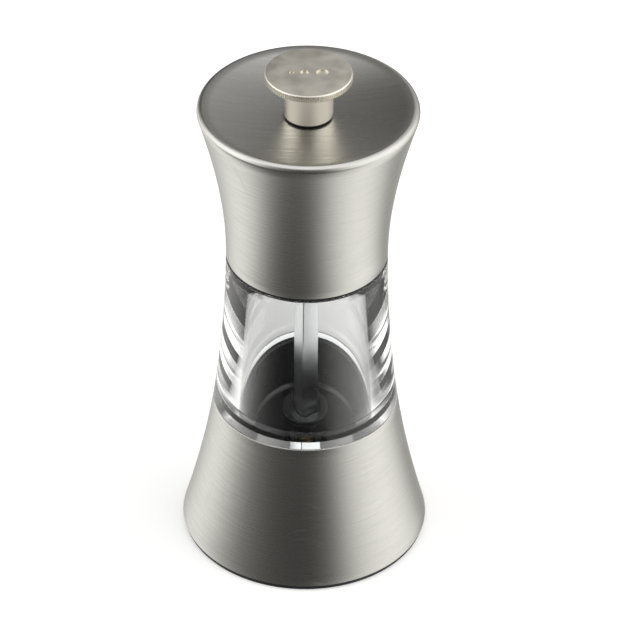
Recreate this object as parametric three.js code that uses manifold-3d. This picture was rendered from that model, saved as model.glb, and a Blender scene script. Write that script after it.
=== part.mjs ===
// Pepper mill: a steel crown and base, a clear hopper and an adjustable ceramic burr set.
// Millimetres, +Z up. The origin is the centre of the face that the mill stands on.
import * as THREE from "three";
import { mergeVertices } from "three/addons/utils/BufferGeometryUtils.js";
import Module from "manifold-3d";

const wasm = await Module();
wasm.setup();

// Clearances
const gap = 0.3; // sideways, between a piece and the one it fits in
const restGap = 0.15; // between faces that rest on each other

// Outside heights, from the table up
const footThickness = 1.2;
const baseHeight = 39.8;
const clearHeight = 46.0;
const glideThickness = 0.5;
const crownHeight = 45.9;
const dishDepth = 3.1;
const stemHeight = 10.25;
const discThickness = 2.0;

// Outside radii, from the table up
const baseRadius = 33.0;
const baseMiddleRadius = 28.05;
const shoulderRadius = 24.5;
const clearMiddleRadius = 22.1;
const waistRadius = 21.1;
const crownLowerRadius = 22.0;
const crownUpperRadius = 24.5;
const crownRadius = 28.4;
const rimRound = 1.5;
const stemRadius = 6.3;
const discRadius = 11.15;
const discBevel = 0.3;

// Steel skins and the foot
const skin = 0.9;
const footInset = 0.4;
const footWidth = 6.6;
const footLipHeight = 2.8;
const footLipWidth = 1.6;

// Clear hopper
const boreRadius = 18.0;
const skirtDepth = 15.1;
const skirtWall = 1.6;
const neckWall = 0.8;
const neckHeight = 5.8;

// Square drive spindle
const shaftSide = 5.0;
const shaftTurn = THREE.MathUtils.degToRad(31);
const journalRadius = 1.9;
const studRadius = 2.5;
const rotorSquareSide = 2.6;
const tailRadius = 1.2;
const grindTravel = 0.8; // how far the spindle moves up or down from its middle setting

// Carrier, the black ring with the hub that the collar turns in
const carrierWall = 1.5;
const ringRise = 2.05; // how far the ring stands above the base
const floorDepth = 13.65;
const floorThickness = 1.4;
const flangeThickness = 2.0;
const hubWall = 1.2;
const guideWall = 1.2; // of the outer ring that holds the hopper's skirt
const guideHeight = 10.0;
const windowAngle = THREE.MathUtils.degToRad(84);
const hubWindowAngle = THREE.MathUtils.degToRad(110); // shows the spring
const frontFeedAngle = THREE.MathUtils.degToRad(100);
const backFeedAngle = THREE.MathUtils.degToRad(60);

// Drive collar
const collarWall = 0.7;
const collarLipWidth = 1.8;
const collarLipThickness = 1.5;
const collarLipHeight = 7.2; // its top above the carrier's floor
const collarEdge = 0.3;
const counterboreDepth = 1.0;
const socketDepth = 2.3;
const shoulderDepth = 2.4;
const tubeRadius = 3.85;
const tubeDepth = 0.5;

// Spring and its seat
const wireRadius = 0.34;
const springCoils = 8.5;
const stepsPerCoil = 10;
const seatThickness = 0.5;
const seatRadius = 3.4;

// Burrs and their housing
const housingInset = 1.6; // how much smaller than the bore the housing is
const housingWall = 1.5;
const housingFlangeThickness = 2.0;
const housingDepth = 15.4;
const housingLipThickness = 1.4;
const statorHeight = 17.0;
const grindBand = 5.5;
const statorWall = 3.6; // at the foot
const grindSlope = 0.35;
const grindGap = 0.7;
const mouthWall = 0.8;
const mouthDepth = 3.0;
const burrInset = 1.5; // the rotor's foot above the stator's foot
const rotorHeight = 10.0;
const rotorTopRadius = 5.2;
const coreRadius = 3.6;
const coreFlangeRadius = 7.0;
const coreFlangeThickness = 1.3;
const fineGrooves = 24;
const fineGrooveSize = 0.8;
const fineTwist = 0.25; // radians, from a groove's foot to its head
const coarseGrooves = 6;
const coarseGrooveSize = 2.2;
const coarseTwist = 0.6;
const washerThickness = 0.6;
const washerRadius = 4.2;
const nutAcross = 5.5;
const nutThickness = 2.2;
const tailProud = 0.8; // how far the spindle's tail stands out of the nut

// Housing screws
const screwCount = 3;
const screwRadius = 1.1;
const screwHeadRadius = 2.0;
const screwHeadHeight = 1.3;

// Crown liner and the square bush that drives the crown
const linerWall = 1.2;
const linerHeight = 19.0;
const webRise = 6.85; // from the liner's foot to the underside of its web
const webThickness = 2.0;
const bushRadius = 5.6;
const bushHeight = 10.0;
const bushDrop = 3.0; // how far the bush hangs below the web
const bushReach = 5.8; // how far the shaft's square stands above the bush

// Base insert, the plastic body inside the steel base
const insertWall = 1.6;
const insertDrop = 5.1;
const ledgeThickness = 2.4;
const ledgeLap = 1.3; // how far the carrier's flange lies over the ledge

// Small details
const knobWasherThickness = 0.3;
const knobWasherInset = 0.2;
const boreRoof = 2.4; // material left above the knob's blind hole

// Facets
const roundSteps = 40;
const smallSteps = 20;
const outlineSteps = 5;

// Heights that follow from the stack
const baseBottom = footThickness + restGap;
const baseTop = baseBottom + baseHeight;
const clearBottom = baseTop + restGap;
const clearTop = clearBottom + clearHeight;
const glideBottom = clearTop + restGap;
const glideTop = glideBottom + glideThickness;
const crownBottom = glideTop + restGap;
const rimTop = crownBottom + crownHeight;
const knobWasherBottom = rimTop - dishDepth + 2 * restGap;
const knobBottom = knobWasherBottom + knobWasherThickness + restGap;
const discBottom = knobBottom + stemHeight;
const knobTop = discBottom + discThickness;
const knobBoreTop = knobTop - boreRoof;

const skirtBottom = baseTop - skirtDepth;
const neckTop = clearTop + neckHeight;
const flangeTop = skirtBottom - gap;
const flangeBottom = flangeTop - flangeThickness;
const ringTop = baseTop + ringRise;
const guideTop = flangeTop + guideHeight;
const floorTop = ringTop - floorDepth;
const floorBottom = floorTop - floorThickness;

const collarTop = floorTop + collarLipHeight;
const collarLipBottom = collarTop - collarLipThickness;
const counterboreBottom = collarTop - counterboreDepth;
const socketBottom = counterboreBottom - socketDepth;
const hubTop = collarLipBottom - restGap;
const collarShoulderBottom = collarLipBottom - shoulderDepth;
const tubeBottom = collarShoulderBottom - tubeDepth;
const seatTop = tubeBottom - restGap;
const seatBottom = seatTop - seatThickness;

const housingTop = flangeBottom - gap;
const housingFlangeBottom = housingTop - housingFlangeThickness;
const housingBottom = housingTop - housingDepth;
const housingLipTop = housingBottom + housingLipThickness;
const statorBottom = housingLipTop + restGap;
const statorTop = statorBottom + statorHeight;
const rotorBottom = statorBottom + burrInset;
const rotorTop = rotorBottom + rotorHeight;
const coreBottom = rotorBottom - restGap - coreFlangeThickness;
const washerTop = coreBottom - restGap;
const washerBottom = washerTop - washerThickness;
const nutTop = washerBottom - restGap;
const nutBottom = nutTop - nutThickness;
const springTop = seatBottom - restGap;
const springBottom = rotorTop + restGap;

const squareBottom = socketBottom + grindTravel + gap;
const linerBottom = neckTop + gap;
const webBottom = linerBottom + webRise;
const webTop = webBottom + webThickness;
const bushBottom = webBottom - bushDrop;
const bushTop = bushBottom + bushHeight;
const squareTop = bushTop + grindTravel + bushReach;
const studTop = knobBoreTop - grindTravel - gap;

// Radii that follow from the fits
const skirtRadius = boreRadius + skirtWall;
const neckRadius = boreRadius + neckWall;
const glideInner = neckRadius + gap;
const glideSleeveOuter = waistRadius - skin - gap;
const carrierOuter = boreRadius - gap;
const carrierInner = carrierOuter - carrierWall;
const guideBore = skirtRadius + gap;
const guideOuter = guideBore + guideWall;
const housingRadius = boreRadius - housingInset;
const housingInner = housingRadius - housingWall;
const statorRadius = housingInner - gap;
const exitRadius = statorRadius - statorWall;
const screwCircle = housingRadius + gap + screwHeadRadius;
const ledgeRadius = screwCircle + screwHeadRadius + 2 * gap;
const carrierFlangeRadius = ledgeRadius + ledgeLap;
const insertBore = carrierFlangeRadius + gap;
const socketSide = shaftSide + 2 * gap;
const collarShoulderRadius = socketSide / Math.SQRT2 + collarWall;
const collarRadius = collarShoulderRadius + collarLipWidth;
const hubBore = collarShoulderRadius + gap;
const hubRadius = hubBore + hubWall;
const journalBore = journalRadius + gap;
const studBore = studRadius + gap;
const columnBore = shaftSide / Math.SQRT2 + 2 * gap;
const columnRadius = bushRadius + gap + linerWall;
const springRadius = journalBore + wireRadius;

// The radius at a height, on the smooth curve through evenly spaced radii.
function curveThrough(bottom, top, radii) {
  const step = (top - bottom) / (radii.length - 1);
  return (z) => {
    let radius = 0;
    radii.forEach((value, i) => {
      let weight = 1;
      radii.forEach((other, j) => {
        if (j !== i) {
          weight *= (z - bottom - j * step) / ((i - j) * step);
        }
      });
      radius += weight * value;
    });
    return radius;
  };
}

const baseOutline = curveThrough(baseBottom, baseTop, [baseRadius, baseMiddleRadius, shoulderRadius]);
const clearOutline = curveThrough(clearBottom, clearTop, [shoulderRadius, clearMiddleRadius, waistRadius]);
const crownOutline = curveThrough(crownBottom, rimTop - rimRound,
  [waistRadius, crownLowerRadius, crownUpperRadius, crownRadius]);
const dishRadius = crownRadius - rimRound;
const dishHeight = (r) => rimTop - dishDepth * (1 - (r / dishRadius) ** 2);
const lipTop = footThickness + footLipHeight;
const lipOuter = baseOutline(lipTop) - skin - gap;
const lipInner = lipOuter - footLipWidth;

// Points along an outline, from one height to another.
function follow(radiusAt, from, to, steps = outlineSteps) {
  const points = [];
  for (let i = 0; i <= steps; i += 1) {
    const z = from + ((to - from) * i) / steps;
    points.push([radiusAt(z), z]);
  }
  return points;
}

// A turned piece. A ring's outline goes round its section, and a solid one's starts and ends on the axis.
function turned(outline, steps = roundSteps) {
  const points = outline.map(([r, z]) => new THREE.Vector2(r, z));
  if (outline[0][0] > 0) {
    points.push(points[0].clone());
  }
  return new THREE.LatheGeometry(points, steps).rotateX(Math.PI / 2);
}

function ring(inner, outer, bottom, top, steps = roundSteps) {
  return turned([[inner, bottom], [outer, bottom], [outer, top], [inner, top]], steps);
}

function rod(radius, bottom, top, steps = smallSteps) {
  return turned([[0, bottom], [radius, bottom], [radius, top], [0, top]], steps);
}

// A square bar along the axis, turned with the spindle.
function squareBar(side, bottom, top) {
  return new THREE.BoxGeometry(side, side, top - bottom)
    .translate(0, 0, (bottom + top) / 2)
    .rotateZ(shaftTurn);
}

// A wedge of the ring between two radii, centred on a direction.
function wedge(direction, angle, inner, outer, bottom, top) {
  const shape = new THREE.Shape();
  shape.absarc(0, 0, outer, direction - angle / 2, direction + angle / 2, false);
  shape.absarc(0, 0, inner, direction + angle / 2, direction - angle / 2, true);
  return new THREE.ExtrudeGeometry(shape, { depth: top - bottom, bevelEnabled: false, curveSegments: 10 })
    .translate(0, 0, bottom);
}

// A solid made of a closed geometry, for joining and cutting.
function solidOf(geometry) {
  const bare = geometry.clone();
  bare.deleteAttribute("normal");
  bare.deleteAttribute("uv");
  const merged = mergeVertices(bare, 1e-4);
  return new wasm.Manifold(new wasm.Mesh({
    numProp: 3,
    vertProperties: merged.attributes.position.array,
    triVerts: new Uint32Array(merged.index.array),
  }));
}

function geometryOf(solid) {
  const mesh = solid.getMesh();
  const geometry = new THREE.BufferGeometry();
  geometry.setAttribute("position", new THREE.BufferAttribute(mesh.vertProperties, 3));
  geometry.setIndex(new THREE.BufferAttribute(mesh.triVerts, 1));
  geometry.computeVertexNormals();
  return geometry;
}

function joined(...geometries) {
  return geometryOf(geometries.map(solidOf).reduce((whole, part) => whole.add(part)));
}

function cut(geometry, ...tools) {
  return geometryOf(tools.map(solidOf).reduce((rest, tool) => rest.subtract(tool), solidOf(geometry)));
}

// Bars laid on edge round a cone, which leave a V groove each. The twist is from their feet to their heads.
function grooveBars(count, size, twist, lowRadius, low, highRadius, high) {
  const bars = [];
  const up = new THREE.Vector3(0, 0, 1);
  for (let i = 0; i < count; i += 1) {
    const turn = (2 * Math.PI * i) / count;
    const foot = new THREE.Vector3(lowRadius, 0, low).applyAxisAngle(up, turn);
    const head = new THREE.Vector3(highRadius, 0, high).applyAxisAngle(up, turn + twist);
    const along = head.clone().sub(foot);
    const middle = foot.clone().add(head).multiplyScalar(0.5);
    const outward = new THREE.Vector3(middle.x, middle.y, 0).normalize();
    const z = along.clone().normalize();
    const y = new THREE.Vector3().crossVectors(z, outward).normalize();
    const x = new THREE.Vector3().crossVectors(y, z);
    const place = new THREE.Matrix4().makeBasis(x, y, z).setPosition(middle);
    const bar = new THREE.BoxGeometry(size, size, along.length() + 2 * size).rotateZ(Math.PI / 4);
    bars.push(bar.applyMatrix4(place));
  }
  return bars;
}

class Helix extends THREE.Curve {
  constructor(radius, bottom, top, coils) {
    super();
    Object.assign(this, { radius, bottom, top, coils });
  }

  getPoint(t, target = new THREE.Vector3()) {
    const turn = 2 * Math.PI * this.coils * t;
    const height = this.bottom + (this.top - this.bottom) * t;
    return target.set(this.radius * Math.cos(turn), this.radius * Math.sin(turn), height);
  }
}

const mill = new THREE.Group();

function addPiece(name, geometry, color, roughness, metalness) {
  const mesh = new THREE.Mesh(geometry, new THREE.MeshStandardMaterial({ color, roughness, metalness }));
  mesh.name = name;
  mill.add(mesh);
  return mesh;
}

const steel = ["#b5b3ac", 0.35, 1];
const blackPlastic = ["#1b1b1c", 0.35, 0];
const ceramic = ["#c9c8c4", 0.5, 0];
const zinc = ["#b9bdbd", 0.4, 1];
const nickel = ["#a79c90", 0.35, 1];

// Base
function footRing() {
  const outer = baseRadius - footInset;
  const inner = outer - footWidth;
  return turned([
    [inner, 0], [outer, 0], [outer, footThickness], [lipOuter, footThickness], [lipOuter, lipTop],
    [lipInner, lipTop], [lipInner, footThickness], [inner, footThickness],
  ]);
}

function baseShell() {
  const inside = (z) => baseOutline(z) - skin;
  return turned([...follow(baseOutline, baseBottom, baseTop), ...follow(inside, baseTop, baseBottom)]);
}

function baseInsert() {
  const bottom = footThickness + restGap;
  const step = lipTop + gap;
  const top = baseTop - insertDrop;
  const ledgeTop = flangeBottom - gap;
  const outside = (z) => baseOutline(z) - skin - gap;
  const stubRadius = lipInner - gap;
  return turned([
    [stubRadius - insertWall, bottom], [stubRadius, bottom], [stubRadius, step],
    ...follow(outside, step, top),
    [insertBore, top], [insertBore, ledgeTop], [ledgeRadius, ledgeTop],
    [ledgeRadius, ledgeTop - ledgeThickness],
    [outside(ledgeTop - ledgeThickness) - insertWall, ledgeTop - ledgeThickness],
  ]);
}

addPiece("foot_ring", footRing(), "#141414", 0.7, 0);
addPiece("base_shell", baseShell(), ...steel);
addPiece("base_insert", baseInsert(), ...blackPlastic);

// Hopper
function clearBody() {
  return turned([
    [boreRadius, skirtBottom], [skirtRadius, skirtBottom], [skirtRadius, clearBottom],
    ...follow(clearOutline, clearBottom, clearTop),
    [neckRadius, clearTop], [neckRadius, neckTop], [boreRadius, neckTop],
  ]);
}

addPiece("clear_body", clearBody(), "#e8eef0", 0.05, 0);

// Carrier and the burr housing that hangs from it
const front = -Math.PI / 2;
const back = Math.PI / 2;

function screwPlaces() {
  return Array.from({ length: screwCount }, (_, i) => {
    const turn = back + (2 * Math.PI * i) / screwCount;
    return [screwCircle * Math.cos(turn), screwCircle * Math.sin(turn)];
  });
}

function screwHoles(bottom, top) {
  const hole = rod(screwRadius + gap, bottom - 1, top + 1, smallSteps / 2);
  return screwPlaces().map(([x, y]) => hole.clone().translate(x, y, 0));
}

function carrier() {
  const body = turned([
    [hubBore, floorBottom], [carrierInner, floorBottom], [carrierInner, flangeBottom],
    [carrierFlangeRadius, flangeBottom], [carrierFlangeRadius, flangeTop], [guideOuter, flangeTop],
    [guideOuter, guideTop], [guideBore, guideTop], [guideBore, flangeTop], [carrierOuter, flangeTop],
    [carrierOuter, ringTop], [carrierInner, ringTop], [carrierInner, floorTop],
    [hubRadius, floorTop], [hubRadius, hubTop], [hubBore, hubTop],
  ]);
  return cut(
    body,
    wedge(front, windowAngle, hubRadius + hubWall, carrierOuter + 1, flangeTop, ringTop + 1),
    wedge(front, hubWindowAngle, hubBore - hubWall, hubRadius + hubWall, floorBottom - 1, tubeBottom),
    wedge(front, frontFeedAngle, hubRadius, housingInner, floorBottom - 1, floorTop + 1),
    wedge(back, backFeedAngle, hubRadius, housingInner, floorBottom - 1, floorTop + 1),
    ...screwHoles(flangeBottom, flangeTop),
  );
}

function burrHousing() {
  const body = turned([
    [exitRadius + gap, housingBottom], [housingRadius, housingBottom], [housingRadius, housingFlangeBottom],
    [ledgeRadius - gap, housingFlangeBottom], [ledgeRadius - gap, housingTop],
    [housingInner, housingTop], [housingInner, housingLipTop], [exitRadius + gap, housingLipTop],
  ]);
  return cut(body, ...screwHoles(housingFlangeBottom, housingTop));
}

function housingScrew() {
  const headTop = housingFlangeBottom - restGap;
  const headBottom = headTop - screwHeadHeight;
  return turned([
    [0, headBottom], [screwHeadRadius, headBottom], [screwHeadRadius, headTop],
    [screwRadius, headTop], [screwRadius, flangeTop - gap], [0, flangeTop - gap],
  ], smallSteps / 2);
}

addPiece("carrier", carrier(), ...blackPlastic);
addPiece("burr_housing", burrHousing(), ...blackPlastic);
screwPlaces().forEach(([x, y], i) => {
  addPiece(`housing_screw_${i + 1}`, housingScrew(), ...zinc).position.set(x, y, 0);
});

// Burrs
function statorBurr() {
  const bandTop = statorBottom + grindBand;
  const throat = exitRadius - grindSlope * grindBand;
  const body = turned([
    [exitRadius, statorBottom], [statorRadius, statorBottom], [statorRadius, statorTop],
    [statorRadius - mouthWall, statorTop], [statorRadius - mouthWall, statorTop - mouthDepth],
    [throat, bandTop],
  ]);
  return cut(
    body,
    ...grooveBars(fineGrooves, fineGrooveSize, fineTwist, exitRadius, statorBottom, throat, bandTop),
  );
}

function rotorBurr() {
  const foot = exitRadius - grindGap - grindSlope * burrInset;
  const bandTop = statorBottom + grindBand;
  const bandRadius = exitRadius - grindGap - grindSlope * grindBand;
  const body = turned([
    [coreRadius + gap, rotorBottom], [foot, rotorBottom], [bandRadius, bandTop],
    [rotorTopRadius, rotorTop], [coreRadius + gap, rotorTop],
  ]);
  return cut(
    body,
    ...grooveBars(fineGrooves, fineGrooveSize, -fineTwist, foot, rotorBottom, bandRadius, bandTop),
    ...grooveBars(coarseGrooves, coarseGrooveSize, -coarseTwist,
      bandRadius, bandTop + coarseGrooveSize, rotorTopRadius, rotorTop + 1),
  );
}

function rotorCore() {
  const flangeTopHere = coreBottom + coreFlangeThickness;
  const body = turned([
    [0, coreBottom], [coreFlangeRadius, coreBottom], [coreFlangeRadius, flangeTopHere],
    [coreRadius, flangeTopHere], [coreRadius, rotorTop], [0, rotorTop],
  ], smallSteps);
  return cut(body, squareBar(rotorSquareSide + 2 * gap, coreBottom - 1, rotorTop + 1));
}

function hexNut() {
  const hexagon = new THREE.Shape();
  for (let i = 0; i < 6; i += 1) {
    const corner = nutAcross / Math.sqrt(3);
    const turn = (Math.PI / 3) * i;
    hexagon[i === 0 ? "moveTo" : "lineTo"](corner * Math.cos(turn), corner * Math.sin(turn));
  }
  hexagon.closePath();
  const hole = new THREE.Path();
  hole.absarc(0, 0, tailRadius + gap, 0, 2 * Math.PI, true);
  hexagon.holes.push(hole);
  return new THREE.ExtrudeGeometry(hexagon, { depth: nutThickness, bevelEnabled: false, curveSegments: 6 })
    .translate(0, 0, nutBottom);
}

addPiece("stator_burr", statorBurr(), ...ceramic);
addPiece("rotor_burr", rotorBurr(), ...ceramic);
addPiece("rotor_core", rotorCore(), ...blackPlastic);
addPiece("rotor_washer", ring(tailRadius + gap, washerRadius, washerBottom, washerTop, smallSteps), ...zinc);
addPiece("rotor_nut", hexNut(), ...zinc);

// Collar, spring and spindle
function driveCollar() {
  const counterbore = socketSide / Math.SQRT2 + gap;
  const body = turned([
    [journalBore, tubeBottom], [tubeRadius, tubeBottom], [tubeRadius, collarShoulderBottom],
    [collarShoulderRadius, collarShoulderBottom], [collarShoulderRadius, collarLipBottom],
    [collarRadius, collarLipBottom], [collarRadius, collarTop - collarEdge],
    [collarRadius - collarEdge, collarTop],
    [counterbore, collarTop], [counterbore, counterboreBottom], [journalBore, counterboreBottom],
  ], smallSteps);
  return cut(body, squareBar(socketSide, socketBottom, counterboreBottom + 1));
}

function spring() {
  const wire = new THREE.Shape();
  wire.absarc(0, 0, wireRadius, 0, 2 * Math.PI, false);
  const path = new Helix(springRadius, springBottom + wireRadius, springTop - wireRadius, springCoils);
  const steps = springCoils * stepsPerCoil;
  return new THREE.ExtrudeGeometry(wire, { steps, curveSegments: 3, extrudePath: path });
}

function spindle() {
  return joined(
    squareBar(shaftSide, squareBottom, squareTop),
    rod(studRadius, squareTop - 1, studTop),
    rod(journalRadius, rotorTop + restGap, squareBottom + 1),
    squareBar(rotorSquareSide, coreBottom, rotorTop + 1),
    rod(tailRadius, nutBottom - tailProud, coreBottom + 1, smallSteps / 2),
  );
}

addPiece("drive_collar", driveCollar(), ...blackPlastic);
addPiece("spring_seat", ring(journalBore, seatRadius, seatBottom, seatTop, smallSteps), ...zinc);
addPiece("spring", spring(), "#8d7a58", 0.4, 1);
addPiece("spindle", spindle(), ...zinc);

// Crown
function crownShell() {
  const wallTop = rimTop - rimRound;
  const round = [];
  for (let i = 1; i <= 4; i += 1) {
    const turn = (Math.PI / 2) * (i / 4);
    round.push([dishRadius + rimRound * Math.cos(turn), wallTop + rimRound * Math.sin(turn)]);
  }
  const dish = [0.75, 0.5].map((share) => [dishRadius * share, dishHeight(dishRadius * share)]);
  const under = [0.5, 0.75, 1].map((share) => [dishRadius * share, dishHeight(dishRadius * share) - skin]);
  const inside = (z) => crownOutline(z) - skin;
  return turned([
    ...follow(crownOutline, crownBottom, wallTop, outlineSteps + 1), ...round, ...dish,
    [studBore, dishHeight(studBore)], [studBore, dishHeight(studBore) - skin], ...under,
    ...follow(inside, wallTop - skin, crownBottom, outlineSteps + 1),
  ]);
}

function crownLiner() {
  const outside = (z) => crownOutline(z) - skin - gap;
  const inside = (z) => outside(z) - linerWall;
  const top = linerBottom + linerHeight;
  const columnTop = dishHeight(columnBore) - skin - gap;
  return turned([
    [glideInner, linerBottom], ...follow(outside, linerBottom, top, outlineSteps - 1),
    ...follow(inside, top, webTop, outlineSteps - 3),
    [columnRadius, webTop], [columnRadius, columnTop], [columnBore, columnTop], [columnBore, bushTop + gap],
    [bushRadius + gap, bushTop + gap], [bushRadius + gap, bushBottom], [columnRadius, bushBottom],
    [columnRadius, webBottom], [inside(webBottom), webBottom],
  ]);
}

function glideRing() {
  const outer = waistRadius - restGap;
  return turned([
    [glideInner, glideBottom], [outer, glideBottom], [outer, glideTop], [glideSleeveOuter, glideTop],
    [glideSleeveOuter, neckTop], [glideInner, neckTop],
  ]);
}

addPiece("crown_shell", crownShell(), ...steel);
addPiece("crown_liner", crownLiner(), ...blackPlastic);
const bushSocket = squareBar(socketSide, bushBottom - 1, bushTop + 1);
addPiece("drive_bush", cut(rod(bushRadius, bushBottom, bushTop), bushSocket), ...zinc);
addPiece("glide_ring", glideRing(), "#161616", 0.5, 0);

// Knob
function knob() {
  return turned([
    [0, knobBoreTop], [studBore, knobBoreTop], [studBore, knobBottom], [stemRadius, knobBottom],
    [stemRadius, discBottom], [discRadius, discBottom], [discRadius, knobTop - discBevel],
    [discRadius - discBevel, knobTop], [0, knobTop],
  ]);
}

addPiece("knob", knob(), ...nickel);
addPiece("knob_washer", ring(studBore, stemRadius - knobWasherInset, knobWasherBottom,
  knobWasherBottom + knobWasherThickness), "#2a2826", 0.7, 0);

export default mill;
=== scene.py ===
import math

import bmesh
import bpy
from bpy.props import FloatProperty, FloatVectorProperty, IntProperty, PointerProperty
from mathutils import Matrix, Vector


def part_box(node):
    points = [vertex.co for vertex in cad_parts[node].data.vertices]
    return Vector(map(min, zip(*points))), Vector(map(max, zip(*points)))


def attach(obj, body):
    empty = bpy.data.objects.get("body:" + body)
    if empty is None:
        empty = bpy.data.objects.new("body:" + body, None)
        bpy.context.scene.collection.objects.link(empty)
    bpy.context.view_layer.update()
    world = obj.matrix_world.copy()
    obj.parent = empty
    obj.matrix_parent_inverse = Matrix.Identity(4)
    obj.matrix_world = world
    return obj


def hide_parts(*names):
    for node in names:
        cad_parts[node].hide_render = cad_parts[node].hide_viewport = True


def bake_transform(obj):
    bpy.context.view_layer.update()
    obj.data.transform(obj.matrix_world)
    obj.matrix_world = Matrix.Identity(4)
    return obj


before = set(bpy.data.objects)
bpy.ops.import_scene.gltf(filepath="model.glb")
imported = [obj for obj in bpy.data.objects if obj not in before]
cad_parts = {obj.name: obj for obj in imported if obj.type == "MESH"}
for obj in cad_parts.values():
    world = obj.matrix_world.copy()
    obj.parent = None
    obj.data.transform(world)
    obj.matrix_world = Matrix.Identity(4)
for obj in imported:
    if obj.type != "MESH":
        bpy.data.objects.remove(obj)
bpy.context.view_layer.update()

bl_info = {
    "name": "Pepper Mill Finish",
    "version": (1, 0, 0),
    "blender": (4, 5, 0),
    "location": "View3D > Sidebar > Pepper Mill",
    "description": "Builds the finished surfaces of a steel and acrylic pepper mill round its fixed frame",
    "category": "Object",
}

MM = 0.001
TURN_STEPS = 192
SMALL_STEPS = 96
MERGE = 1e-7
SEAM = 0.15 * MM


def box_of(node):
    """The lowest and highest corner of a frame node."""
    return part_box(node)


def low_z(node):
    return box_of(node)[0].z


def high_z(node):
    return box_of(node)[1].z


def radius_of(node):
    return box_of(node)[1].x


# ---------------------------------------------------------------- settings


def length(name, description, default):
    """A length in metres, shown with its unit."""
    return FloatProperty(name=name, description=description, default=default, unit="LENGTH", precision=5)


def colour(name, description, default):
    return FloatVectorProperty(name=name, description=description, default=default, size=3, min=0.0, max=1.0,
                               subtype="COLOR")


class SteelSettings(bpy.types.PropertyGroup):
    """Sizes and colour of the steel crown and base"""

    skin: length("Skin", "Thickness of the sheet steel", 0.9 * MM)
    base_middle: length("Base middle", "Radius halfway up the base", 28.05 * MM)
    crown_lower: length("Crown lower", "Radius a third of the way up the crown", 21.98 * MM)
    crown_upper: length("Crown upper", "Radius two thirds of the way up the crown", 24.55 * MM)
    rim_round: length("Rim round", "Radius of the rounded rim", 1.6 * MM)
    dish_depth: length("Dish depth", "How deep the crown's top is dished", 3.1 * MM)
    hole: length("Hole", "Radius of the hole for the spindle's stud", 2.8 * MM)
    edge: length("Edge", "Rounding of the sheet's edges", 0.15 * MM)
    metal: colour("Metal", "Colour of the brushed steel", (0.60, 0.592, 0.565))


class HopperSettings(bpy.types.PropertyGroup):
    """Sizes and tint of the clear hopper"""

    bore: length("Bore", "Radius of the hopper's bore", 18.0 * MM)
    middle: length("Middle", "Radius halfway up the hopper", 22.1 * MM)
    skirt: length("Skirt", "Wall of the skirt inside the base", 1.6 * MM)
    neck: length("Neck", "Radius of the neck inside the crown", 18.8 * MM)
    edge: length("Edge", "Rounding of the moulded edges", 0.3 * MM)
    tint: colour("Tint", "Colour of the acrylic", (0.985, 0.99, 0.995))


class KnobSettings(bpy.types.PropertyGroup):
    """Sizes and colour of the knurled knob"""

    stem: length("Stem", "Radius of the stem", 6.3 * MM)
    disc: length("Disc", "Thickness of the disc", 2.0 * MM)
    bevel: length("Bevel", "Bevel of the disc's edges", 0.3 * MM)
    teeth: IntProperty(name="Teeth", description="Number of knurled teeth", default=114, min=12)
    tooth: length("Tooth", "Depth of the knurling", 0.28 * MM)
    bore_roof: length("Bore roof", "Metal left above the blind bore", 2.4 * MM)
    dot: length("Dot", "Radius of the largest of the three grind dots", 1.6 * MM)
    dot_depth: length("Dot depth", "Depth of the grind dots", 0.5 * MM)
    metal: colour("Metal", "Colour of the satin nickel", (0.84, 0.80, 0.72))


class MechanismSettings(bpy.types.PropertyGroup):
    """Sizes and colours of what turns and grinds inside"""

    shaft: length("Shaft", "Side of the square shaft", 5.0 * MM)
    shaft_turn: FloatProperty(name="Shaft turn", description="Turn of the square about the axis",
                              default=math.radians(31), subtype="ANGLE")
    shaft_edge: length("Shaft edge", "Rounding of the shaft's edges", 0.25 * MM)
    journal: length("Journal", "Radius of the round part below the collar", 1.9 * MM)
    stud: length("Stud", "Radius of the threaded stud", 2.5 * MM)
    pitch: length("Pitch", "Pitch of the stud's thread", 0.8 * MM)
    wire: length("Wire", "Radius of the spring's wire", 0.34 * MM)
    coils: FloatProperty(name="Coils", description="Coils of the spring", default=8.5, min=2.0)
    clearance: length("Clearance", "Gap between pieces that fit in one another", 0.3 * MM)
    shaft_metal: colour("Shaft metal", "Colour of the drawn shaft", (0.80, 0.82, 0.83))
    spring_metal: colour("Spring metal", "Colour of the spring's wire", (0.62, 0.50, 0.30))
    plastic: colour("Plastic", "Colour of the black mouldings", (0.016, 0.016, 0.018))
    ceramic: colour("Ceramic", "Colour of the burrs", (0.62, 0.62, 0.61))


class StageSettings(bpy.types.PropertyGroup):
    """The floor, the light and the camera"""

    distance: length("Distance", "How far the camera stands in front of the axis", 0.8534874)
    height: length("Height", "How high the camera stands", 0.7148432)
    yaw: FloatProperty(name="Yaw", description="Turn of the camera to the right",
                       default=0.004247, subtype="ANGLE")
    pitch: FloatProperty(name="Pitch", description="How far the camera looks down",
                         default=0.650314, subtype="ANGLE")
    roll: FloatProperty(name="Roll", description="Roll of the camera", default=0.012983, subtype="ANGLE")
    lens: FloatProperty(name="Lens", description="Focal length in millimetres for a 36 mm sensor",
                        default=229.0)
    floor: length("Floor", "Side of the floor", 6.0)
    floor_colour: colour("Floor colour", "Colour of the floor", (0.92, 0.92, 0.92))


SETTINGS = {
    "mill_steel": SteelSettings,
    "mill_hopper": HopperSettings,
    "mill_knob": KnobSettings,
    "mill_mechanism": MechanismSettings,
    "mill_stage": StageSettings,
}

# ---------------------------------------------------------------- shapes


def curve_through(bottom, top, radii):
    """The radius at a height, on the smooth curve through evenly spaced radii."""
    step = (top - bottom) / (len(radii) - 1)

    def radius_at(z):
        total = 0.0
        for i, value in enumerate(radii):
            weight = 1.0
            for j in range(len(radii)):
                if j != i:
                    weight *= (z - bottom - j * step) / ((i - j) * step)
            total += weight * value
        return total

    return radius_at


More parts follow.
